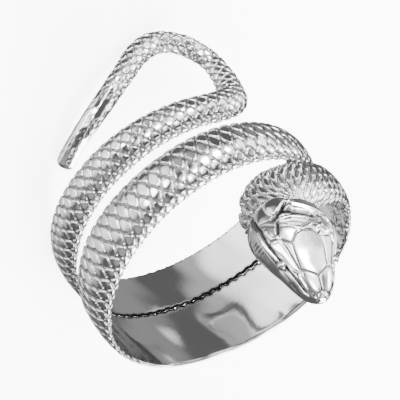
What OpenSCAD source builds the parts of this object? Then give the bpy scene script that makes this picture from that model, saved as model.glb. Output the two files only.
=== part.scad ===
// Snake ring, cast in one piece: a scaled body that winds twice round the finger,
// with a crooked neck and the head at the front and a looped tail at the back.
// It is worked out round the finger's own axis, then laid down on its side.
// Millimetres.

/* [Finger] */
// Diameter of the hole that the finger goes through
finger_d = 18.2; // [16:0.1:20]

/* [Snake] */
// Width of the whole body, as a share of the widths in the path table
body_girth = 1.0; // [0.9:0.01:1.0]
// Share of a section's height at which its side wall turns into the domed back
wall_share = 0.3; // [0.2:0.05:0.4]
// Length of one scale along the body
scale_length = 1.2; // [1.0:0.1:1.6]
// Depth of the grooves between the scales
scale_depth = 0.12; // [0.05:0.01:0.15]
// Number of half scales across the back
scales_across = 10; // [8:2:10]

/* [Head] */
// Turn round the finger at which the head starts, in degrees
head_turn = 27; // [26:0.5:28]
// Distance of the head's start in front of the middle of the ring
head_forward = 9.2; // [9.0:0.1:9.4]
// Distance of the head's middle from the finger's axis
head_radius = 10.6; // [10.5:0.1:10.9]
// Angle of the head off the finger's axis, seen from above it
head_yaw = -12; // [-14:1:-6]
// Lean of the head to one side
head_lean = 7; // [0:1:12]
// Height of the eyes above the side of the head
eye_height = 0.28; // [0.1:0.02:0.3]

/* [Rest] */
// Turn of the ring round its finger's axis before it is laid down
rest_turn = 165.8; // [0:0.1:360]
// Lean of the finger's axis away from upright, about X
rest_lean_x = 11.9; // [-90:0.1:90]
// Lean of the finger's axis away from upright, about Y
rest_lean_y = 25.8; // [-90:0.1:90]
// Place of the ring's middle along X, which brings its outline over the origin
rest_x = 1.51; // [-5:0.01:5]
// Place of the ring's middle along Y
rest_y = 1.31; // [-5:0.01:5]
// Height of the ring's middle, with the ring on the ground
rest_z = 8.29; // [0:0.01:15]

/* [Hidden] */

TURN = 0;
AXIAL = 1;
WIDTH = 2;
HEIGHT = 3;
LIFT = 4;

// The body from the neck to the tip of the tail. Columns: turn round the finger
// in degrees, place along the finger, width, height above the finger, and gap
// between finger and metal.
path = [
    [25.5,  9.50, 3.90, 2.30, 0.30],
    [27.0,  8.50, 3.95, 2.20, 0.15],
    [30.5,  7.60, 4.05, 2.00, 0.05],
    [36.5,  6.90, 4.15, 1.85, 0.00],
    [45.0,  6.40, 4.10, 1.65, 0.00],
    [56.0,  5.85, 4.00, 1.45, 0.00],
    [69.0,  5.10, 3.90, 1.25, 0.00],
    [84.0,  4.25, 3.85, 1.10, 0.00],
    [102.0,  3.5, 4.30, 1.10, 0.00],
    [125.0,  2.95, 4.95, 1.00, 0.00],
    [150.0,  2.55, 5.35, 0.90, 0.00],
    [180.0,  1.95, 5.65, 0.90, 0.00],
    [210.0,  1.65, 5.50, 0.80, 0.00],
    [240.0,  1.85, 5.10, 0.65, 0.00],
    [270.0,  2.10, 4.70, 0.65, 0.00],
    [300.0,  2.35, 4.40, 1.00, 0.00],
    [330.0,  2.30, 4.10, 1.40, 0.00],
    [360.0,  2.05, 3.80, 1.50, 0.00],
    [390.0,  1.60, 3.70, 1.40, 0.00],
    [420.0,  1.05, 3.60, 1.10, 0.00],
    [450.0, -0.05, 3.30, 0.85, 0.00],
    [480.0, -1.45, 3.50, 0.80, 0.00],
    [510.0, -2.50, 4.00, 0.80, 0.00],
    [540.0, -3.15, 4.10, 0.80, 0.00],
    [570.0, -3.35, 4.10, 0.80, 0.00],
    [600.0, -3.20, 4.00, 0.65, 0.00],
    [630.0, -2.75, 3.40, 0.65, 0.00],
    [660.0, -2.65, 3.50, 1.00, 0.00],
    [690.0, -2.40, 3.00, 1.40, 0.00],
    [720.0, -2.35, 2.70, 1.50, 0.00],
    [745.0, -2.40, 2.50, 1.40, 0.00],
    [762.0, -2.60, 2.40, 1.40, 0.00],
    [773.0, -3.50, 2.30, 1.40, 0.00],
    [778.0, -4.90, 2.10, 1.30, 0.00],
    [780.5, -6.50, 2.00, 1.30, 0.00],
    [781.0, -8.00, 1.90, 1.30, 0.00],
    [777.0, -9.40, 1.90, 1.30, 0.00],
    [769.0, -10.30, 1.85, 1.30, 0.00],
    [757.0, -10.60, 1.80, 1.30, 0.00],
    [746.0, -9.80, 1.70, 1.30, 0.00],
    [735.0, -8.40, 1.60, 1.20, 0.00],
    [722.0, -7.10, 1.50, 1.20, 0.00],
    [708.0, -6.20, 1.30, 1.10, 0.00],
    [693.0, -5.60, 1.10, 1.00, 0.00]
];

// First and last rows of the path that carry scales: the tip of the tail is bare
first_scaled = 0.5;
last_scaled = 40.5;

ALONG = 0;
HALF = 1;
TOP = 2;
UNDER = 3;

// The head from the nape to the snout. Columns: distance from the nape, half the
// width, height of the crown and depth of the jaw.
head = [
    [0.50, 2.10, 1.60, 1.30],
    [1.20, 2.45, 1.80, 1.40],
    [2.10, 2.65, 1.85, 1.45],
    [3.00, 2.55, 1.80, 1.40],
    [4.00, 2.15, 1.55, 1.30],
    [5.00, 1.70, 1.30, 1.10],
    [5.90, 1.35, 1.10, 0.95],
    [6.60, 1.00, 0.85, 0.80],
    [7.10, 0.65, 0.60, 0.55],
    [7.40, 0.25, 0.25, 0.25]
];

// Rows of the head between which the eyes and the brows stand
eye_row = 4.4;
eye_reach = 0.9;
head_steps = 18;
// The roundness of the head's section: 1 is an ellipse, less is squarer
head_square = 0.8;
// Angles at which the head's section starts and ends, under the jaw
jaw_start = -38;
jaw_end = 218;

finger_r = finger_d / 2;
// Depth that the body reaches into the finger hole before the hole is cut
overcut = 0.1;
// Radius at which lengths along the body are measured
mid_r = finger_r + 0.6;
hole_length = 60;
arc_points = scales_across + 3;
ring_points = arc_points + 1;
step = scale_length / 2;

// One column of a table at a row number that may lie between rows, as a smooth
// curve through the rows on either side
function cell(table, row, column) =
    let (n = len(table) - 1)
    row < 0 ? 2 * table[0][column] - table[1][column] :
    row > n ? 2 * table[n][column] - table[n - 1][column] :
    table[row][column];

function smooth(table, at, column) =
    let (row = min(floor(at), len(table) - 2))
    let (t = at - row)
    let (a = cell(table, row - 1, column), b = cell(table, row, column))
    let (c = cell(table, row + 1, column), d = cell(table, row + 2, column))
    b + 0.5 * t * (c - a + t * (2 * a - 5 * b + 4 * c - d + t * (3 * (b - c) + d - a)));

// Length of the path's stretch that starts at a row
function arc_mm(turn) = turn * PI / 180 * mid_r;
function stretch(row) =
    norm([arc_mm(path[row + 1][TURN] - path[row][TURN]), path[row + 1][AXIAL] - path[row][AXIAL]]);

// Places of the body's rings, as row numbers, about half a scale apart
places = [
    for (row = [0 : len(path) - 2])
    let (count = max(1, round(stretch(row) / step)))
    for (k = [0 : count - 1]) row + k / count
];

// Directions at a turn round the finger: outwards, and round the finger
function outward(turn) = [sin(turn), cos(turn), 0];
function around(turn) = [cos(turn), -sin(turn), 0];

// Shape of the body's section: how far to the side, from 1 to -1, and how high,
// from 0 to 1, at each point of its back
function side_share(k) = k == 0 ? 1 : k == arc_points - 1 ? -1 : cos(180 * (k - 1) / scales_across);
function height_share(k) = wall_share + (1 - wall_share) * sin(180 * (k - 1) / scales_across);

function is_scaled(at) = at >= first_scaled && at <= last_scaled;
// Every second point of every second ring lies in a groove, so the rest stand up
// as the middles of diamond scales
function groove(at, ring, k) =
    k > 0 && k < arc_points - 1 && is_scaled(at) && (ring + k) % 2 == 1
    ? scale_depth * min(1, smooth(path, at, HEIGHT)) : 0;

function body_ring(at, ring, shrink = 1, onward = 0) =
    let (turn = smooth(path, at, TURN), axial = smooth(path, at, AXIAL))
    let (near = 0.01, before = max(at - near, 0), after = min(at + near, len(path) - 1))
    let (run = arc_mm(smooth(path, after, TURN) - smooth(path, before, TURN)))
    let (rise = smooth(path, after, AXIAL) - smooth(path, before, AXIAL))
    let (way = [run, rise] / norm([run, rise]))
    let (side = -way[1] * around(turn) + [0, 0, way[0]])
    let (forth = way[0] * around(turn) + [0, 0, way[1]])
    let (half = shrink * body_girth * smooth(path, at, WIDTH) / 2)
    let (tall = shrink * smooth(path, at, HEIGHT), lift = smooth(path, at, LIFT))
    let (base = (finger_r + lift) * outward(turn) + [0, 0, axial] + onward * forth)
    [
        for (k = [0 : ring_points - 1])
        let (ends = k == 0 || k >= arc_points - 1)
        let (across = k == arc_points ? 0 : side_share(k))
        let (up = ends ? -overcut : tall * height_share(k))
        let (dip = groove(at, ring, k))
        let (lean = 180 * (k - 1) / scales_across)
        base + side * (half * across - dip * cos(lean)) + outward(turn) * (up - dip * sin(lean))
    ];

// The blunt tip of the tail: three smaller rings past the path's end
tip = len(path) - 1;
tip_rings = [for (a = [30, 55, 78]) body_ring(tip, 1, cos(a), 0.55 * sin(a))];

// Directions of the head: onwards to the snout, up through the crown, to its left
head_forth = cos(head_yaw) * [0, 0, 1] + sin(head_yaw) * around(head_turn);
head_left = cross(outward(head_turn), head_forth);
head_up = cos(head_lean) * outward(head_turn) + sin(head_lean) * head_left;
head_side = cross(head_up, head_forth);
head_start = head_radius * outward(head_turn) + [0, 0, head_forward];

function squared(value) = sign(value) * pow(abs(value), head_square);
// An eye stands out of the side of the head, a little above its widest line
function eye_bump(at, angle) =
    let (off = norm([(at - eye_row) / eye_reach, (abs(angle - 90) - 62) / 16]))
    eye_height * max(0, 1 - off * off);

function head_ring(at) = [
    for (k = [0 : ring_points - 1])
    let (angle = k == arc_points ? 270 : jaw_start + (jaw_end - jaw_start) * k / (arc_points - 1))
    let (tall = smooth(head, at, sin(angle) > 0 ? TOP : UNDER))
    let (half = smooth(head, at, HALF) + (k == arc_points ? 0 : eye_bump(at, angle)))
    head_start + head_forth * smooth(head, at, ALONG)
        + head_side * half * squared(cos(angle)) + head_up * tall * squared(sin(angle))
];

head_rings = [for (k = [head_steps : -1 : 0]) head_ring(k * (len(head) - 1) / head_steps)];
body_rings = [for (ring = [0 : len(places) - 1]) body_ring(places[ring], ring)];
rings = concat(head_rings, body_rings, [body_ring(tip, 0)], tip_rings);

// A quad between two rings is cut along the line that joins its two low corners
function cut_quad(ring, k, low) =
    let (a = ring * ring_points + k, b = ring * ring_points + (k + 1) % ring_points)
    let (c = a + ring_points, d = b + ring_points)
    low ? [[a, b, d], [a, d, c]] : [[a, b, c], [b, d, c]];

skin = [
    for (ring = [0 : len(rings) - 2], k = [0 : ring_points - 1])
    each cut_quad(ring, k, (ring - len(head_rings) + k) % 2 != 0)
];

// The flat ends of the skin, as fans round their first point
last_ring = (len(rings) - 1) * ring_points;
ends = [
    for (k = [1 : ring_points - 2])
    each [[0, k + 1, k], [last_ring, last_ring + k, last_ring + k + 1]]
];

module snake_ring() {
    color("silver")
        translate([rest_x, rest_y, rest_z])
        rotate([rest_lean_x, rest_lean_y, 0])
        rotate([0, 0, rest_turn])
        difference() {
            polyhedron(points = [for (ring = rings) each ring], faces = concat(skin, ends), convexity = 12);
            cylinder(r = finger_r, h = hole_length, center = true, $fn = 96);
        }
}

snake_ring();
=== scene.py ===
"""A silver finger ring, cast as a snake that winds twice round the finger."""

import bpy
import numpy as np
from mathutils import Matrix, Vector


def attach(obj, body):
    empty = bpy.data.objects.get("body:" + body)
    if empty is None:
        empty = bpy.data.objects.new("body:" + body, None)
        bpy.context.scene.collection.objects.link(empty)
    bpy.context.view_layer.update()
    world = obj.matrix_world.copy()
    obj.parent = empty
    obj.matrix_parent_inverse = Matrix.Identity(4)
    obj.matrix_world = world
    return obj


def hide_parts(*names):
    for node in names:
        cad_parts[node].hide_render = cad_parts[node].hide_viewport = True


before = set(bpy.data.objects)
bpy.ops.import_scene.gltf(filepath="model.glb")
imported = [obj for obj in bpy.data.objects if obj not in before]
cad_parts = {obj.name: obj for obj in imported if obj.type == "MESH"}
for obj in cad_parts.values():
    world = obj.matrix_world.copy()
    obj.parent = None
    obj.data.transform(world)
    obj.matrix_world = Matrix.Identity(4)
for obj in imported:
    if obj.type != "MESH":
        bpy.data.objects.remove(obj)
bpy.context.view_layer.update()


# The silver of the whole ring: one casting, barrel polished, so every raised face
# is bright while the grooves are darker and duller, and the deepest go black. The
# same values also carry painted shade: the seam between the turns, the hollows behind
# the head's plates and the eye sockets are painted dark to black, and the lower jaw and
# the plates behind the shield are painted darker, standing in for the dark things
# they mirror. An attribute of each mesh holds how deep a point lies, together with
# this painted shade, from 0 to 1.
def plain_silver(name, bright, dark, black, shine, dull):
    """Metal whose colour goes from the bright to the dark value and on to black along a
    ramp on the attribute of grooves and painted shade, with stains added to it. Its
    roughness rises in a straight line along the same sum, and a noise makes faint scratches."""
    material = bpy.data.materials.new(name)
    material.use_nodes = True
    nodes, links = material.node_tree.nodes, material.node_tree.links
    shader = nodes["Principled BSDF"]
    shader.inputs["Metallic"].default_value = 1.0
    where = nodes.new("ShaderNodeTexCoord")
    groove = nodes.new("ShaderNodeAttribute")
    groove.attribute_name = "groove"
    stains = nodes.new("ShaderNodeTexNoise")
    stains.inputs["Scale"].default_value = 900.0
    stains.inputs["Detail"].default_value = 5.0
    links.new(where.outputs["Object"], stains.inputs["Vector"])
    grooves_shade_and_stains = nodes.new("ShaderNodeMath")
    grooves_shade_and_stains.operation = "MULTIPLY_ADD"
    grooves_shade_and_stains.inputs[1].default_value = 0.12
    links.new(stains.outputs["Fac"], grooves_shade_and_stains.inputs[0])
    links.new(groove.outputs["Fac"], grooves_shade_and_stains.inputs[2])
    colour = nodes.new("ShaderNodeValToRGB")
    colour.color_ramp.elements[0].position = 0.25
    colour.color_ramp.elements[0].color = (*bright, 1.0)
    colour.color_ramp.elements[1].position = 0.8
    colour.color_ramp.elements[1].color = (*dark, 1.0)
    # The black end of the ramp is reached in the deep line between the jaws and, as painted shade, in
    # the seam between the turns, the head's hollows and the eye sockets
    colour.color_ramp.elements.new(1.0).color = (*black, 1.0)
    links.new(grooves_shade_and_stains.outputs[0], colour.inputs["Fac"])
    links.new(colour.outputs["Color"], shader.inputs["Base Color"])
    rough = nodes.new("ShaderNodeMapRange")
    rough.inputs["From Min"].default_value = 0.1
    rough.inputs["From Max"].default_value = 1.0
    rough.inputs["To Min"].default_value = shine
    rough.inputs["To Max"].default_value = dull
    links.new(grooves_shade_and_stains.outputs[0], rough.inputs["Value"])
    links.new(rough.outputs["Result"], shader.inputs["Roughness"])
    marks = nodes.new("ShaderNodeTexNoise")
    marks.inputs["Scale"].default_value = 2600.0
    marks.inputs["Detail"].default_value = 3.0
    links.new(where.outputs["Object"], marks.inputs["Vector"])
    bump = nodes.new("ShaderNodeBump")
    bump.inputs["Strength"].default_value = 0.06
    bump.inputs["Distance"].default_value = 0.00005
    links.new(marks.outputs["Fac"], bump.inputs["Height"])
    links.new(bump.outputs["Normal"], shader.inputs["Normal"])
    return material


silver = plain_silver("silver", bright=(0.50, 0.50, 0.508), dark=(0.17, 0.17, 0.175),
                      black=(0.012, 0.012, 0.012), shine=0.09, dull=0.48)


# The snake's body: one tapering silver band, flat against the finger and domed
# outside, cast with two families of crossing grooves that leave diamond scales
# between them. It starts at the neck, winds twice round and ends in the tail.

# Sizes are millimetres until they are laid down as metres
MM = 0.001
finger_radius = 9.1
# Radius at which lengths along the body are measured
mid_radius = 9.7

# Turn round the finger in degrees, place along it, width, height, lift off it
path = np.array([
    [25.5, 9.50, 3.90, 2.30, 0.30],
    [27.0, 8.50, 3.95, 2.20, 0.15],
    [30.5, 7.60, 4.05, 2.00, 0.05],
    [36.5, 6.90, 4.15, 1.85, 0.00],
    [45.0, 6.40, 4.10, 1.65, 0.00],
    [56.0, 5.85, 4.00, 1.45, 0.00],
    [69.0, 5.10, 3.90, 1.25, 0.00],
    [84.0, 4.25, 3.85, 1.10, 0.00],
    [102.0, 3.50, 4.30, 1.10, 0.00],
    [125.0, 2.95, 4.95, 1.00, 0.00],
    [150.0, 2.55, 5.35, 0.90, 0.00],
    [180.0, 1.95, 5.65, 0.90, 0.00],
    [210.0, 1.65, 5.50, 0.80, 0.00],
    [240.0, 1.85, 5.10, 0.65, 0.00],
    [270.0, 2.10, 4.70, 0.65, 0.00],
    [300.0, 2.35, 4.40, 1.00, 0.00],
    [330.0, 2.30, 4.10, 1.40, 0.00],
    [360.0, 2.05, 3.80, 1.50, 0.00],
    [390.0, 1.60, 3.70, 1.40, 0.00],
    [420.0, 1.05, 3.60, 1.10, 0.00],
    [450.0, -0.05, 3.30, 0.85, 0.00],
    [480.0, -1.45, 3.50, 0.80, 0.00],
    [510.0, -2.50, 4.00, 0.80, 0.00],
    [540.0, -3.15, 4.10, 0.80, 0.00],
    [570.0, -3.35, 4.10, 0.80, 0.00],
    [600.0, -3.20, 4.00, 0.65, 0.00],
    [630.0, -2.75, 3.40, 0.65, 0.00],
    [660.0, -2.65, 3.50, 1.00, 0.00],
    [690.0, -2.40, 3.00, 1.40, 0.00],
    [720.0, -2.35, 2.70, 1.50, 0.00],
    [745.0, -2.40, 2.50, 1.40, 0.00],
    [762.0, -2.60, 2.40, 1.40, 0.00],
    [773.0, -3.50, 2.30, 1.40, 0.00],
    [778.0, -4.90, 2.10, 1.30, 0.00],
    [780.5, -6.50, 2.00, 1.30, 0.00],
    [781.0, -8.00, 1.90, 1.30, 0.00],
    [777.0, -9.40, 1.90, 1.30, 0.00],
    [769.0, -10.30, 1.85, 1.30, 0.00],
    [757.0, -10.60, 1.80, 1.30, 0.00],
    [746.0, -9.80, 1.70, 1.30, 0.00],
    [735.0, -8.40, 1.60, 1.20, 0.00],
    [722.0, -7.10, 1.50, 1.20, 0.00],
    [708.0, -6.20, 1.40, 1.15, 0.00],
    [693.0, -5.60, 1.32, 1.12, 0.00],
])
TURN, ALONG, WIDTH, HEIGHT, LIFT = range(5)


def turned(angle, axis):
    """Rotation by an angle in degrees about an axis, as a 3 by 3 array."""
    return np.array(Matrix.Rotation(np.radians(angle), 3, axis))


# The ring is worked out round the finger, then laid on its side as it comes to rest
lay = turned(25.8, "Y") @ turned(11.9, "X") @ turned(165.8, "Z")
stand = np.array([1.51, 1.31, 8.29])


def laid(points):
    """Points in millimetres round the finger, as metres on the ground, none below it."""
    there = points @ lay.T + stand
    there[..., 2] = np.maximum(there[..., 2], 0)
    return there * MM


def smooth_rows(table, at):
    """Rows of a table at row numbers that may lie between rows: the cubic that
    passes through the rows, with each slope half the step between its neighbours."""
    last = len(table) - 1
    row = np.clip(np.floor(at).astype(int), 0, last - 1)
    t = (at - row)[:, None]
    longer = np.vstack([2 * table[0] - table[1], table, 2 * table[-1] - table[-2]])
    a, b, c, d = (longer[row + k] for k in range(4))
    return b + 0.5 * t * (c - a + t * (2 * a - 5 * b + 4 * c - d + t * (3 * (b - c) + d - a)))


def arc(turn):
    """Length along the body of a turn in degrees: the angle times the radius."""
    return np.radians(turn) * mid_radius


def outward(turn):
    """Direction away from the finger: sine and cosine of the turn across it."""
    return np.stack([np.sin(turn), np.cos(turn), 0 * turn], -1)


def around(turn):
    """Direction round the finger: the slope of the outward one."""
    return np.stack([np.cos(turn), -np.sin(turn), 0 * turn], -1)


def ease(share):
    """Rises from 0 to 1 with level ends: three times the square less twice the cube."""
    share = np.clip(share, 0, 1)
    return share ** 2 * (3 - 2 * share)


def scatter(first, second, seed):
    """A number from -0.5 to 0.5 for each pair of whole numbers: the fraction of a
    large sine, so neighbours have nothing to do with each other."""
    wave = np.sin(first * 12.9898 + second * 78.233 + seed) * 43758.5453
    return wave - np.floor(wave) - 0.5


# Row of the path, length of a scale there, how far a row of scales leans (mm a
# degree), depth of the grooves, degrees over the back that a scale spans
scale_runs = np.array([
    [0, 0.62, 0.010, 0.24, 42],
    [2, 0.70, 0.022, 0.26, 42],
    [3.5, 0.85, 0.030, 0.28, 42],
    [6, 0.90, 0.030, 0.26, 44],
    [9, 0.90, 0.016, 0.21, 52],
    [12, 0.90, 0.000, 0.16, 60],
    [17, 0.90, 0.000, 0.13, 60],
    [22, 0.90, 0.000, 0.13, 60],
    [27, 0.86, 0.000, 0.12, 60],
    [30, 0.79, 0.000, 0.11, 60],
    [34, 0.94, 0.000, 0.11, 60],
    [43, 1.00, 0.000, 0.11, 60],
])
LENGTH, LEAN, DEPTH, SPAN = 1, 2, 3, 4
rings_per_scale = 14
degrees_per_column = 5
# Degrees of the columns before and after the dome, on the low walls
wall_degrees = 25
# Radius of the inner face's corners, half the width of a groove, how round the
# corners of a scale are (2 is a circle), rows over which the scales end
corner = 0.14
groove_half = 0.09
round_corners = 3.5
bare_rows = (40.2, 41.0)


def scale_value(places, column):
    """A column of scale_runs at places along the path, on straight lines between."""
    return np.interp(places, scale_runs[:, 0], scale_runs[:, column])


def body_places(steps):
    """Row numbers of the rings: a fixed number of steps to each scale, counted as the
    sum of the path's short stretches, each over the length of a scale there."""
    fine = np.linspace(0, len(path) - 1, 60001)
    row = smooth_rows(path, fine)
    stretch = np.hypot(np.diff(arc(row[:, TURN])), np.diff(row[:, ALONG]))
    count = np.concatenate([[0], np.cumsum(stretch / scale_value(fine[1:], LENGTH))])
    rings = int(count[-1] * steps)
    return np.interp(np.arange(rings + 1) / steps, count, fine)


# Everything is worked out on rings twice as close as the mesh's, which takes every
# second one and so keeps the slopes of the fine grid
places = body_places(2 * rings_per_scale)
row = smooth_rows(path, places)
near = 0.01
ahead = smooth_rows(path, np.minimum(places + near, len(path) - 1))
behind = smooth_rows(path, np.maximum(places - near, 0))
way = np.stack([arc(ahead[:, TURN] - behind[:, TURN]), ahead[:, ALONG] - behind[:, ALONG]], -1)
way /= np.linalg.norm(way, axis=1)[:, None]
turn = np.radians(row[:, TURN])
up_way = outward(turn)
forth_way = way[:, :1] * around(turn) + way[:, 1:] * np.array([0, 0, 1.0])
side_way = np.cross(forth_way, up_way)


def by_turn(turns, values):
    """A value for each ring, on straight lines between turns in degrees."""
    return np.interp(row[:, TURN], turns, values)[:, None]


# Columns over the back as degrees round the dome, with a low wall before and after
over = np.arange(-wall_degrees, 180 + wall_degrees + 0.1, degrees_per_column / 2)
dome = np.radians(np.clip(over, 0, 180))
wall = np.clip(np.maximum(-over, over - 180) / wall_degrees, 0, 1)
half = row[:, WIDTH, None] / 2
tall = row[:, HEIGHT, None]
# Under the finger the two turns lie side by side, each a little wider, and all but
# close the seam
seam_turns = np.array([95, 120, 215, 242, 262, 290])
wider = [0, 0.11, 0.11, 0.27, 0.27, 0]
wider_front = by_turn(seam_turns, wider)
wider_rear = by_turn(seam_turns + 360, wider)
wall_share = np.interp(places, [9, 12], [0.06, 0.3])[:, None]
across = (half * np.cos(dome) + wider_rear * np.maximum(np.cos(dome), 0)
          + wider_front * np.minimum(np.cos(dome), 0))
up = np.where(wall > 0, corner + (wall_share * tall - corner) * (1 - wall),
              tall * (wall_share + (1 - wall_share) * np.sin(dome)))
# From the neck to the seam the front edge is rounder, and the scales run on round it
rounder = by_turn([45, 62, 116, 130], [0, 1, 1, 0])
edge_lift = 0.25 * rounder
up = up + edge_lift * np.where(over < 90, 1 - np.sin(dome), 0)

# On the inside of a tight bend the rings crowd together, and the relief is lower
base = (finger_radius + row[:, LIFT])[:, None] * up_way + row[:, ALONG, None] * np.array([0, 0, 1.0])
plain = base[:, None] + side_way[:, None] * across[..., None] + up_way[:, None] * up[..., None]
step = np.linalg.norm(np.gradient(plain, axis=0), axis=-1)
crowding = np.clip(step / step[:, len(over) // 2, None], 0.35, 1)

# Two families of grooves cross the back; what they leave standing is a scale, a
# diamond about twice as wide as it is long
length = scale_value(places, LENGTH)[:, None]
lean = scale_value(places, LEAN)[:, None]
deep = scale_value(places, DEPTH)[:, None] * np.minimum(1, tall / 1.1)
span = scale_value(places, SPAN)[:, None]


def lattice(over, closeness):
    """How many grooves of each family lie between the start and points over the back:
    scales along times their closeness, plus and minus scales across."""
    to_side = (over - 90) / span
    scales_before = np.arange(len(places))[:, None] / (2 * rings_per_scale)
    to_tail = scales_before - lean * (over - 90) / length
    return closeness * to_tail + to_side, closeness * to_tail - to_side


def from_middle(one, other):
    """0 in the middle of a scale, 1 on the grooves round it: the root of the sum of
    the distances towards the two families raised to a power, so corners are round."""
    return (np.abs(one % 1 * 2 - 1) ** round_corners
            + np.abs(other % 1 * 2 - 1) ** round_corners) ** (1 / round_corners)


# A scale is a plate between grooves, a little pillowed, more so at the sides, tilted
# by chance, and laid over the next one like a shingle
pillow_height, side_pillow_height = 0.008, 0.05
tilt_height, shingle_height = 0.12, 0.05
one, other = lattice(over, 1)
a_degree = np.hypot(np.gradient(across, over, axis=1), np.gradient(up, over, axis=1))
spacing = 1 / np.hypot(1 / length, 1 / np.maximum(span * a_degree, 0.3))
at_edge = np.clip((np.abs(over - 90) - 40) / 45, 0, 1)
plate = ease((1 - from_middle(one, other)) * spacing / 2 / groove_half)
pillow = np.abs(np.sin(np.pi * one) * np.sin(np.pi * other))
tilt = (scatter(np.floor(one), np.floor(other), 0.0) * (one % 1 - 0.5)
        + scatter(np.floor(one), np.floor(other), 4.0) * (other % 1 - 0.5))
shingle = (one % 1 + other % 1) / 2 - 0.5
scaled = 1 - ease((places - bare_rows[0]) / (bare_rows[1] - bare_rows[0]))[:, None]
face = ((pillow_height + side_pillow_height * at_edge) * pillow
        + tilt_height * tilt + shingle_height * shingle)
rise = (deep * (plate - 1) + plate * (1 - wall) * face) * scaled * crowding

# The grooves and the low walls are dark, and the walls along the seam between the turns are painted
# black, as painted shade in the seam
seam_painted_shade = np.where(over < 90, by_turn([455, 480, 645, 660], [0, 1, 1, 0]),
                      by_turn([95, 120, 285, 300], [0, 1, 1, 0]))
groove = np.maximum(0.75 * (1 - plate) * scaled, wall ** 2 * (0.35 + 0.65 * seam_painted_shade))
# Under the finger the front turn has a plain rim on its free side
rim = 1 - by_turn([95, 120, 245, 262], [0, 1, 1, 0]) * ease((22 - over) / 14)
rise = rise * rim
groove = groove * rim

# Past the last scales the tail is bare, with rough marks left by the file: a sum of
# sine waves, given as waves along, waves across, phase and height
file_marks = [
    (9.0, 0.11, 0.0, 0.006),
    (17.0, -0.07, 1.0, 0.005),
    (29.0, 0.17, 2.0, 0.004),
    (5.0, -0.21, 4.0, 0.008),
]
marks = sum(np.sin(places[:, None] * along + over * side + phase) * size
            for along, side, phase, size in file_marks)
rise = rise + marks * (1 - scaled) * (1 - wall)
across = across + rise * np.cos(dome)
up = up + rise * np.sin(dome)

# The inner face, back from the last column to the first, with round corners
inner_share = np.linspace(0, 1, 35)[1:-1]
knots = [0, 0.06, 0.12, 0.88, 0.94, 1]
right_edge, left_edge = across[:, :1], across[:, -1:]
middle, spread = (right_edge + left_edge) / 2, (right_edge - left_edge) / 2
full = np.interp(inner_share, knots, [-1, -1, -1, 1, 1, 1])
trim = np.interp(inner_share, knots, [0, 0.3, 1, -1, -0.3, 0])
inner_up = corner * np.interp(inner_share, knots, [1, 0.3, 0, 0, 0.3, 1])
# Its front part carries the scales that run on round the front edge, longer than on
# the back, at degrees that go on from those of the last column
beyond = np.clip((inner_share - 0.45) / 0.55, 0, 1)
inner_over = 100 * beyond - 125
inner_closeness = 0.4
inner_plate = ease((1 - from_middle(*lattice(inner_over, inner_closeness))) / 2 / groove_half)
inner_gap = (1 - inner_plate) * rounder * ease(4 * beyond)
inner_up = inner_up + edge_lift * beyond ** 2 + 0.6 * deep * inner_gap
across = np.hstack([across, middle + full * spread + corner * trim])
up = np.hstack([up, inner_up])
from_edge = np.minimum(inner_share, 1 - inner_share)
# The corners of the inner face along the seam are painted black too, as painted shade in the seam
seam_edge_painted_shade = np.interp(from_edge, [0.12, 0.16], [1, 0])
seam_edge_painted_shade = seam_edge_painted_shade * np.where(inner_share < 0.5, seam_painted_shade[:, -1:], seam_painted_shade[:, :1])
groove = np.hstack([groove, np.maximum(seam_edge_painted_shade, 0.75 * inner_gap)])

body = base[:, None] + side_way[:, None] * across[..., None] + up_way[:, None] * up[..., None]

# Nothing lies in the finger hole, and the inner face lies on its wall, but for the
# long low waves that polishing by hand leaves in it
radius = np.linalg.norm(body[..., :2], axis=-1)
hugging = (row[:, LIFT, None] == 0) & (np.arange(body.shape[1]) >= len(over))
wave_height = 0.02
wave = turn[:, None] * mid_radius
waves = wave_height * (2 + np.sin(wave / 0.62 + 1.3 * body[..., 2])
                       + np.sin(wave / 1.1 - 0.9 * body[..., 2] + 1))
body[..., :2] *= np.where(hugging, (finger_radius + waves + up) / radius,
                          np.maximum(1, finger_radius / radius))[..., None]

# The blunt tip of the tail: smaller and smaller rings past the end, whose size is the
# cosine of an angle raised to a power that is 1 for a round end and less for a flat one
tip_length = 0.5
tip_round = 0.8
tip_angles = np.radians([8, 16, 26, 36, 46, 56, 65, 74, 81, 87])
tip_middle = body[-1].mean(0)
tip_rings = np.stack([tip_middle + (body[-1] - tip_middle) * np.cos(a) ** tip_round
                      + forth_way[-1] * tip_length * np.sin(a) for a in tip_angles])
body = np.concatenate([body, tip_rings])
groove = np.vstack([groove, np.repeat(groove[-1:], len(tip_angles), 0)])


def grid_normals(points):
    """Normals of a grid that closes across its columns: the cross product of the
    steps along and across it, turned to point away from the middles of the rings."""
    along = np.gradient(points, axis=0)
    side = np.roll(points, -1, axis=1) - np.roll(points, 1, axis=1)
    normals = np.cross(side, along)
    normals /= np.maximum(np.linalg.norm(normals, axis=-1), 1e-12)[..., None]
    out = points - points.mean(1, keepdims=True)
    return normals * np.sign((out * normals).sum())


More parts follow.
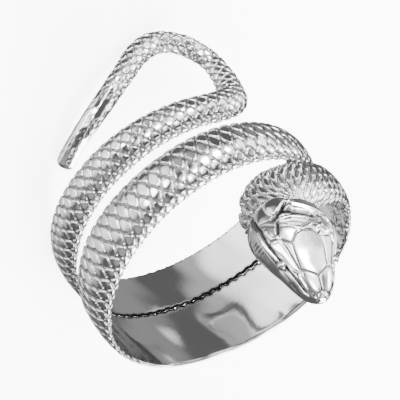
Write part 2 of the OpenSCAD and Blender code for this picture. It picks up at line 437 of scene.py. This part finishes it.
def closed_tube(name, points, groove, normals=None):
    """A mesh of rings joined by quads, with a fan of triangles at each end. Its corners
    keep the normals that are given."""
    rings, columns = points.shape[:2]
    caps = np.stack([points[0].mean(0), points[-1].mean(0)])
    corners = np.vstack([points.reshape(-1, 3), caps])
    ring, col = np.meshgrid(np.arange(rings - 1), np.arange(columns), indexing="ij")
    a = ring * columns + col
    b = ring * columns + (col + 1) % columns
    quads = np.stack([a, b, b + columns, a + columns], -1).reshape(-1, 4)
    edge = np.arange(columns)
    after = (edge + 1) % columns
    start = np.stack([0 * edge + rings * columns, after, edge], -1)
    last = (rings - 1) * columns
    end = np.stack([0 * edge + rings * columns + 1, last + edge, last + after], -1)
    # Faces that look inward are turned round
    out = corners[quads] - np.repeat(points.mean(1)[:-1], columns, 0)[:, None]
    if (np.cross(out[:, 0], out[:, 1]) * out[:, 2]).sum() < 0:
        quads, start, end = quads[:, ::-1], start[:, ::-1], end[:, ::-1]
    mesh = bpy.data.meshes.new(name)
    mesh.from_pydata(laid(corners).tolist(), [], quads.tolist() + start.tolist() + end.tolist())
    depths = mesh.attributes.new("groove", "FLOAT", "POINT")
    depths.data.foreach_set("value", np.append(groove.ravel(), [0.0, 0.0]).astype(np.float32))
    mesh.polygons.foreach_set("use_smooth", np.ones(len(mesh.polygons), bool))
    mesh.update()
    if normals is not None:
        whole = np.vstack([normals.reshape(-1, 3), -forth_way[:1], forth_way[-1:]])
        mesh.normals_split_custom_set_from_vertices((whole @ lay.T).tolist())
    piece = bpy.data.objects.new(name, mesh)
    bpy.context.scene.collection.objects.link(piece)
    mesh.materials.append(silver)
    return piece


def cast_on(piece):
    """Every piece is part of the one casting."""
    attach(piece, "root")
    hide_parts("snake_ring")


normals = grid_normals(body)
# Rows of the path between which each piece of the body runs
runs = {
    "neck": (0, 9),
    "first_turn": (9, 18),
    "second_turn": (18, 24),
    "third_turn": (24, 30),
    "tail": (30, 43),
}
for name, (first, last) in runs.items():
    start, stop = (np.searchsorted(places, [first, last]) // 2) * 2
    kept = slice(start, None if name == "tail" else stop + 1, 2)
    cast_on(closed_tube(name, body[kept], groove[kept], normals[kept]))


# The head: cast in the round with the neck, a flat blunt wedge with raised plates
# on its crown, a brow over each eye and a deep line between the jaws.

# Distance from the nape, half the width, height of the crown, depth of the jaw. The
# first row lies inside the neck, so that the two join without a gap.
head_table = np.array([
    [-0.40, 1.60, 0.80, 1.05],
    [0.50, 2.10, 1.60, 1.30],
    [1.20, 2.45, 1.80, 1.40],
    [2.10, 2.65, 1.85, 1.45],
    [3.00, 2.55, 1.80, 1.40],
    [4.00, 2.15, 1.55, 1.30],
    [5.00, 1.70, 1.30, 1.10],
    [5.90, 1.35, 1.10, 0.95],
    [6.60, 1.00, 0.85, 0.80],
    [7.10, 0.65, 0.60, 0.55],
    [7.40, 0.25, 0.25, 0.25],
])
FROM_NAPE, HALF, CROWN, JAW = range(4)
# Where the head starts: its turn round the finger, radius and place along the finger
head_turn = np.radians(27.0)
head_radius = 10.6
head_forward = 9.2
# How far it points to the side and leans over
head_yaw = np.radians(-12.0)
head_lean = np.radians(7.0)
head_out = outward(head_turn)
head_forth = np.cos(head_yaw) * np.array([0, 0, 1.0]) + np.sin(head_yaw) * around(head_turn)
head_left = np.cross(head_out, head_forth)
head_up = np.cos(head_lean) * head_out + np.sin(head_lean) * head_left
head_side = np.cross(head_up, head_forth)
head_start = head_radius * head_out + np.array([0, 0, head_forward])
# The roundness of the head's section: 1 is an ellipse, less is squarer
head_square = 0.8
head_rings = 186
head_columns = 300


def squared(value):
    """A sine or cosine raised to the power head_square, with its sign kept."""
    return np.sign(value) * np.abs(value) ** head_square


def along_head(distances, values):
    """A value for each ring of the head, on straight lines between distances from
    the nape."""
    return np.interp(head_row[:, FROM_NAPE], distances, values)[:, None]


head_row = smooth_rows(head_table, np.linspace(0, len(head_table) - 1, head_rings))
# Angles round the section at even steps along a typical outline
typical_half, typical_height = 2.2, 1.5
guess = np.linspace(0, 2 * np.pi, 2001)
outline = np.stack([typical_half * squared(np.cos(guess)), typical_height * squared(np.sin(guess))], -1)
outline_length = np.concatenate([[0], np.cumsum(np.linalg.norm(np.diff(outline, axis=0), axis=1))])
angle = np.interp(np.linspace(0, outline_length[-1], head_columns + 1)[:-1], outline_length, guess)
head_across = head_row[:, HALF, None] * squared(np.cos(angle))
head_height = np.where(np.sin(angle) > 0, head_row[:, CROWN, None], head_row[:, JAW, None])
head_tall = head_height * squared(np.sin(angle))
head_long = head_row[:, FROM_NAPE, None] + 0 * angle

# Corners of the crown's plates, as distance from the nape and from the middle line
plates = {
    "shield": [(3.26, -0.1), (3.35, 0.6), (3.64, 0.95), (4.2, 1.0), (5.5, 0.77), (6.2, 0),
               (5.66, -0.86), (3.97, -0.9), (3.51, -0.6)],
    "left_snout": [(5.74, -0.88), (6.26, -0.02), (7.05, -0.04), (7.28, -0.26), (6.84, -0.66),
                   (6.03, -0.94)],
    "right_snout": [(6.26, 0.02), (5.72, 0.72), (5.65, 1.15), (6.69, 0.95), (7.28, 0.3), (7.05, 0)],
    "left_brow": [(3.5, -1.96), (3.58, -1.62), (4.24, -1.3), (5.6, -0.97), (5.75, -1.0),
                  (5.47, -1.24), (4.53, -1.6), (3.66, -2.02)],
    "left_strip": [(3.66, -1.42), (3.98, -0.96), (5.6, -0.9), (5.55, -0.97), (4.2, -1.26)],
    "right_brow": [(3.72, 1.06), (3.53, 1.75), (3.95, 1.9), (5.49, 1.36), (5.6, 0.84), (4.2, 1.08)],
    "left_parietal": [(2.79, -1.3), (2.96, -0.65), (3.2, -0.37), (3.46, -0.64), (3.9, -0.97),
                      (3.6, -1.45), (3.1, -1.49)],
    "left_cheek": [(2.26, -2.25), (2.66, -1.62), (3.3, -1.58), (3.45, -1.68), (3.4, -1.98),
                   (2.88, -2.2)],
    "right_parietal": [(3.0, 0.08), (2.81, 0.62), (2.99, 1.18), (3.34, 1.1), (3.55, 0.9),
                       (3.24, 0.5), (3.2, 0.0)],
    "right_temple": [(2.36, 1.26), (2.12, 1.74), (2.89, 1.9), (3.4, 1.7), (3.45, 1.25), (2.98, 1.28)],
    "nape": [(2.18, -1.19), (2.1, -0.43), (2.37, 0.44), (2.7, 0.52), (2.86, 0.05), (2.7, -0.78)],
    "left_nape": [(2.05, -2.3), (2.15, -1.5), (2.6, -1.4), (2.6, -1.6), (2.2, -2.25)],
}


def nearest_side(points, corners):
    """Distance of points from the nearest of the straight lines from corner to corner:
    each point is dropped onto a line and kept between its ends."""
    corners = np.array(corners)
    best = np.full(points.shape[:-1], 1e9)
    for a, b in zip(corners[:-1], corners[1:]):
        step = b - a
        share = np.clip(((points - a) @ step) / (step @ step), 0, 1)
        best = np.minimum(best, np.linalg.norm(points - a - share[..., None] * step, axis=-1))
    return best


def inside(points, corners):
    """Distance of points inside a polygon from its nearest side, negative outside. A
    point lies inside when a line from it crosses the sides an odd number of times."""
    corners = np.array(corners + corners[:1])
    crossing = np.zeros(points.shape[:-1], bool)
    for a, b in zip(corners[:-1], corners[1:]):
        spans = (a[1] > points[..., 1]) != (b[1] > points[..., 1])
        rise = 1e-9 if b[1] == a[1] else b[1] - a[1]
        crossing ^= spans & (points[..., 0] < a[0] + (points[..., 1] - a[1]) / rise * (b[0] - a[0]))
    return nearest_side(points, corners) * np.where(crossing, 1, -1)


def bump(distance, width):
    """A smooth roll: e to the power of minus the square of distance over width."""
    return np.exp(-(distance / width) ** 2)


# Each plate is level inside a narrow bevel, and the grooves between plates are dark
spot = np.stack([head_long, head_across], -1)
top_side = ease((np.degrees(angle) + 2) / 10) * ease((182 - np.degrees(angle)) / 10)
depths = np.sort(np.stack([inside(spot, corners) for corners in plates.values()]), axis=0)
plate_bevel = 0.085
plate_rise = 0.10
to_edge = np.clip((depths[-1] - np.maximum(depths[-2], -0.12)) / 2, 0, plate_bevel) / plate_bevel
on_crown = np.clip((depths[-1] + 0.12) / 0.1, 0, 1) * top_side
relief = plate_rise * (ease(to_edge) - 1) * on_crown
head_groove = (1 - ease(to_edge)) * on_crown

# Behind the shield the plates stand higher and curl over one another, with deep
# hollows at their backs, which are painted dark as painted shade. Rolls and hollows:
# height, width, corners of a line
rolls = [
    (0.13, 0.16, [(2.25, -1.1), (2.2, -0.45), (2.42, 0.42)]),
    (0.10, 0.13, [(2.85, 0.66), (3.02, 1.15), (3.3, 1.05)]),
    (0.09, 0.12, [(2.3, 1.35), (2.95, 1.3), (3.1, 1.6)]),
    (0.12, 0.16, [(0.95, -0.1), (1.3, 0.7), (1.85, 1.6), (2.5, 2.05), (3.2, 1.95)]),
    (0.08, 0.14, [(2.75, -2.1), (3.35, -1.95), (3.45, -1.65)]),
    (-0.20, 0.20, [(1.75, -0.75), (1.8, 0.1), (2.05, 0.85)]),
    (-0.34, 0.10, [(1.15, -0.42), (1.8, -1.0), (2.12, -1.5)]),
    (-0.24, 0.08, [(2.3, -1.33), (3.1, -1.53)]),
    (-0.12, 0.09, [(2.6, 0.6), (2.7, 1.2), (2.15, 1.2)]),
    (-0.12, 0.22, [(0.6, 0.5), (0.9, 1.4), (1.6, 2.2)]),
]
ridges = 0 * relief
for height, width, corners in rolls:
    roll = bump(nearest_side(spot, corners), width) * top_side
    relief = relief + height * roll
    if height > 0:
        ridges = np.maximum(ridges, roll)
    else:
        head_groove = np.maximum(head_groove, roll * min(1, -6 * height))
# Between their bright ridges these plates are rougher and painted darker, a painted
# shade that stands in for the dark things they mirror
painted_dark_plates = ease((3.35 - head_long) / 0.4) * ease((head_long - 1.6) / 0.4) * top_side
head_groove = np.maximum(head_groove, 0.6 * painted_dark_plates * (1 - ease(1.5 * ridges)))

# A round lobe stands on the left of the nape
lobe_height = 0.28
lobe = np.clip(1 - np.hypot((head_long - 1.15) / 1.0, (head_across + 0.85) / 0.85), 0, 1) * top_side
relief = relief + lobe_height * np.sqrt(lobe * (2 - lobe))

# A deep line runs back from the snout under the brow, with the eye in it, and a
# roll of lip follows it below
degrees = np.degrees(angle)
# Degrees above the head's widest line, on both sides alike
flank = np.where(degrees < 90, degrees, np.where(degrees < 270, 180 - degrees, degrees - 360))
line = along_head([0.9, 2.4, 3.6, 4.6, 5.7, 6.4, 6.9], [20, 30, 27, 24, 24, 20, 10])
off_line = (flank - line) * np.pi / 180 * head_row[:, HALF, None]
line_fade = along_head([0.7, 1.3, 6.7, 7.1], [0, 1, 1, 0])
line_wide = along_head([0.9, 3.2, 4.4, 6.5], [0.13, 0.13, 0.08, 0.06])
cut = bump(off_line, line_wide) * line_fade
lip = bump(off_line + 0.30, 0.13) * line_fade * along_head([3.8, 5.0], [1, 0.35])
below = bump(off_line + 0.52, 0.07) * line_fade * along_head([1.4, 2.2, 6.2, 6.8], [0, 1, 1, 0])
brow = bump(off_line - 0.24, 0.12) * line_fade * along_head([3.2, 4.2, 6.0, 6.6], [0, 1, 1, 0])
relief = relief - 0.24 * cut + 0.11 * lip - 0.05 * below + 0.05 * brow
# The side of the lower jaw is painted a little darker, a painted shade that stands in for the dark
# things it mirrors
jaw = ease((12 - flank) / 10) * ease((head_row[:, FROM_NAPE, None] - 1.0) / 0.8)
head_groove = np.maximum.reduce([head_groove, cut, 0.5 * below, 0.15 * jaw])

# Rough skin behind the corner of the mouth, and a fine stipple on the shield's back
rough_skin = np.clip(1 - np.hypot((head_long - 2.9) / 0.75, (flank - 8) / 12), 0, 1)
wrinkles = np.sin(head_long * 19 + flank * 0.4) * np.sin(flank * 0.62 - head_long * 7)
relief = relief + 0.05 * rough_skin * wrinkles
head_groove = np.maximum(head_groove, 0.8 * np.sqrt(rough_skin))
shield_back = np.clip(inside(spot, plates["shield"]) / 0.1, 0, 1) * ease((5.0 - head_long) / 0.9)
stipple = scatter(np.arange(head_rings)[:, None], np.arange(head_columns), 2.0)
relief = relief + 0.008 * stipple * shield_back
head_groove = np.maximum(head_groove, (0.62 + 0.2 * stipple) * shield_back)

# The socket round each eye, at a distance from the nape and degrees above the side
eye_long, eye_flank = 4.82, 18.0
socket_width, socket_depth = 0.40, 0.12
eye_off = np.hypot(head_long - eye_long, (flank - eye_flank) * np.pi / 180 * head_row[:, HALF, None])
socket = np.exp(-(eye_off / socket_width) ** 4)
relief = relief - socket_depth * socket
# The socket is painted dark to black, as painted shade in the hollow round the eye
head_groove = np.maximum(head_groove, socket)

# The relief stands off the smooth head along its normals, and stays out of the hole
smooth_head = (head_start + head_long[..., None] * head_forth
               + head_across[..., None] * head_side + head_tall[..., None] * head_up)
head_normals = grid_normals(smooth_head)
head_points = smooth_head + relief[..., None] * head_normals
radius = np.linalg.norm(head_points[..., :2], axis=-1)
head_points[..., :2] *= np.maximum(1, finger_radius / radius)[..., None]
head = closed_tube("head", head_points, head_groove)
cast_on(head)


# The eyes: two small silver beads cast into the line under the brows, one on each
# side, sunk a little way into their sockets.
def bead(name, centre, size):
    """A ball as a grid of circles: each one's radius is the cosine of its latitude,
    and its height is the sine."""
    latitude = np.radians(np.linspace(-85, 85, 17))
    longitude = np.linspace(0, 2 * np.pi, 28, endpoint=False)
    ring = np.cos(latitude)[:, None]
    points = np.stack([ring * np.cos(longitude), ring * np.sin(longitude),
                       np.sin(latitude)[:, None] + 0 * longitude], -1)
    return closed_tube(name, centre + size * points, np.zeros(points.shape[:2]))


eye_size = 0.30
eye_sunk = 0.05
eye_angle = np.radians(eye_flank)
eye_place = np.interp([eye_long], head_table[:, FROM_NAPE], np.arange(len(head_table)))
eye_row = smooth_rows(head_table, eye_place)[0]
for name, side in (("eye_left", -1), ("eye_right", 1)):
    eye_centre = (head_start + eye_long * head_forth
                  + side * (eye_row[HALF] * squared(np.cos(eye_angle)) - eye_sunk) * head_side
                  + eye_row[CROWN] * squared(np.sin(eye_angle)) * head_up)
    cast_on(bead(name, eye_centre, eye_size))


# The studio: a plain white floor that sweeps up far away, and a room whose soft
# lights the polished silver mirrors. The floor itself is left out of the mirror
# image, as a shiny thing on a light table is photographed.

# Radius and height of the floor's rings, in metres
sweep = [(0.3, 0.0), (0.8, 0.0), (1.1, 0.02), (1.3, 0.09), (1.45, 0.25), (1.5, 0.5)]
sweep_sides = 48
sweep_turn = np.linspace(0, 2 * np.pi, sweep_sides, endpoint=False)
sweep_points = [(r * np.cos(t), r * np.sin(t), z) for r, z in sweep for t in sweep_turn]
sweep_faces = [tuple(range(sweep_sides))]
for inner in range(0, (len(sweep) - 1) * sweep_sides, sweep_sides):
    outer = inner + sweep_sides
    for k in range(sweep_sides):
        after = (k + 1) % sweep_sides
        sweep_faces.append((inner + k, outer + k, outer + after, inner + after))
floor_mesh = bpy.data.meshes.new("floor")
floor_mesh.from_pydata(sweep_points, [], sweep_faces)
floor_mesh.polygons.foreach_set("use_smooth", np.ones(len(sweep_faces), bool))
floor = bpy.data.objects.new("floor", floor_mesh)
bpy.context.scene.collection.objects.link(floor)
floor.visible_glossy = False
floor_paint = bpy.data.materials.new("floor_paint")
floor_paint.use_nodes = True
paint = floor_paint.node_tree.nodes["Principled BSDF"]
paint.inputs["Base Color"].default_value = (0.9, 0.9, 0.9, 1)
paint.inputs["Roughness"].default_value = 0.9
paint.inputs["Emission Color"].default_value = (1, 1, 1, 1)
paint.inputs["Emission Strength"].default_value = 5.0
floor_mesh.materials.append(floor_paint)

# The camera stands where the photograph was taken from, given in the ring's own
# frame: on the plane through the finger's axis and the ring's top, turned towards
# the ring's middle, at a distance in millimetres
camera_elevation = np.radians(35.86)
camera_distance = 84.7
camera_roll = np.radians(-36.66)
# Direction from the ring to the camera
sight = np.array([0, np.cos(camera_elevation), np.sin(camera_elevation)])
flat_right = np.array([1.0, 0, 0])
flat_up = np.cross(sight, flat_right)
picture_side = np.cos(camera_roll) * flat_right + np.sin(camera_roll) * flat_up
picture_up = np.cross(sight, picture_side)
camera_data = bpy.data.cameras.new("camera")
camera_data.sensor_width = 36.0
camera_data.lens = 104.5
camera_data.shift_x = 0.0067
camera_data.shift_y = 0.0855
camera_data.clip_start = 0.001
camera = bpy.data.objects.new("camera", camera_data)
bpy.context.scene.collection.objects.link(camera)
facing = np.stack([lay @ picture_side, lay @ picture_up, lay @ sight], -1)
place = Matrix(facing.tolist()).to_4x4()
place.translation = Vector(laid(sight * camera_distance))
camera.matrix_world = place
bpy.context.scene.camera = camera


# The room's soft lights: direction round the ring and above it in degrees, strength,
# and degrees from its middle at which each has smoothly faded out. It is at full
# strength within a fifth of them.
room_lights = [
    (36, 55, 19.0, 27), (56, 33, 16.0, 27), (-16, 66, 14.0, 27), (-146, 14, 7.0, 27),
    (141, 38, 6.0, 27), (-114, 25, 4.5, 27), (-86, -33, 2.5, 27), (-118, -46, 3.5, 27),
    (-13, -66, 1.1, 27), (-65, -54, 2.5, 27), (-138, -27, 0.8, 27), (149, -5, 0.3, 27),
    (174, 52, 1.5, 27), (-48, 5, 0.6, 40), (50, -79, 1.1, 34), (-152, 12, 38.0, 13),
    (-116, 22, 30.0, 12), (150, 40, 18.0, 13), (-105, -16, 24.0, 13), (175, 16, 6.0, 22),
]
# What the walls of the room give back in every direction
room_walls = 0.22
world = bpy.data.worlds.new("room")
bpy.context.scene.world = world
world.use_nodes = True
room_nodes, room_links = world.node_tree.nodes, world.node_tree.links
room_way = room_nodes.new("ShaderNodeTexCoord")
room_light = None
for azimuth, elevation, strength, reach in room_lights:
    round_it, above = np.radians(azimuth), np.radians(elevation)
    nearness = room_nodes.new("ShaderNodeVectorMath")
    nearness.operation = "DOT_PRODUCT"
    nearness.inputs[1].default_value = (np.cos(above) * np.cos(round_it),
                                        np.cos(above) * np.sin(round_it), np.sin(above))
    room_links.new(room_way.outputs["Generated"], nearness.inputs[0])
    glow = room_nodes.new("ShaderNodeMapRange")
    glow.interpolation_type = "SMOOTHSTEP"
    glow.inputs["From Min"].default_value = np.cos(np.radians(reach))
    glow.inputs["From Max"].default_value = np.cos(np.radians(reach) / 5)
    glow.inputs["To Min"].default_value = 0.0
    glow.inputs["To Max"].default_value = strength
    room_links.new(nearness.outputs["Value"], glow.inputs["Value"])
    more = room_nodes.new("ShaderNodeMath")
    more.inputs[0].default_value = room_walls
    if room_light is not None:
        room_links.new(room_light, more.inputs[0])
    room_links.new(glow.outputs["Result"], more.inputs[1])
    room_light = more.outputs[0]
room_nodes["Background"].inputs["Color"].default_value = (1, 1, 1, 1)
room_links.new(room_light, room_nodes["Background"].inputs["Strength"])
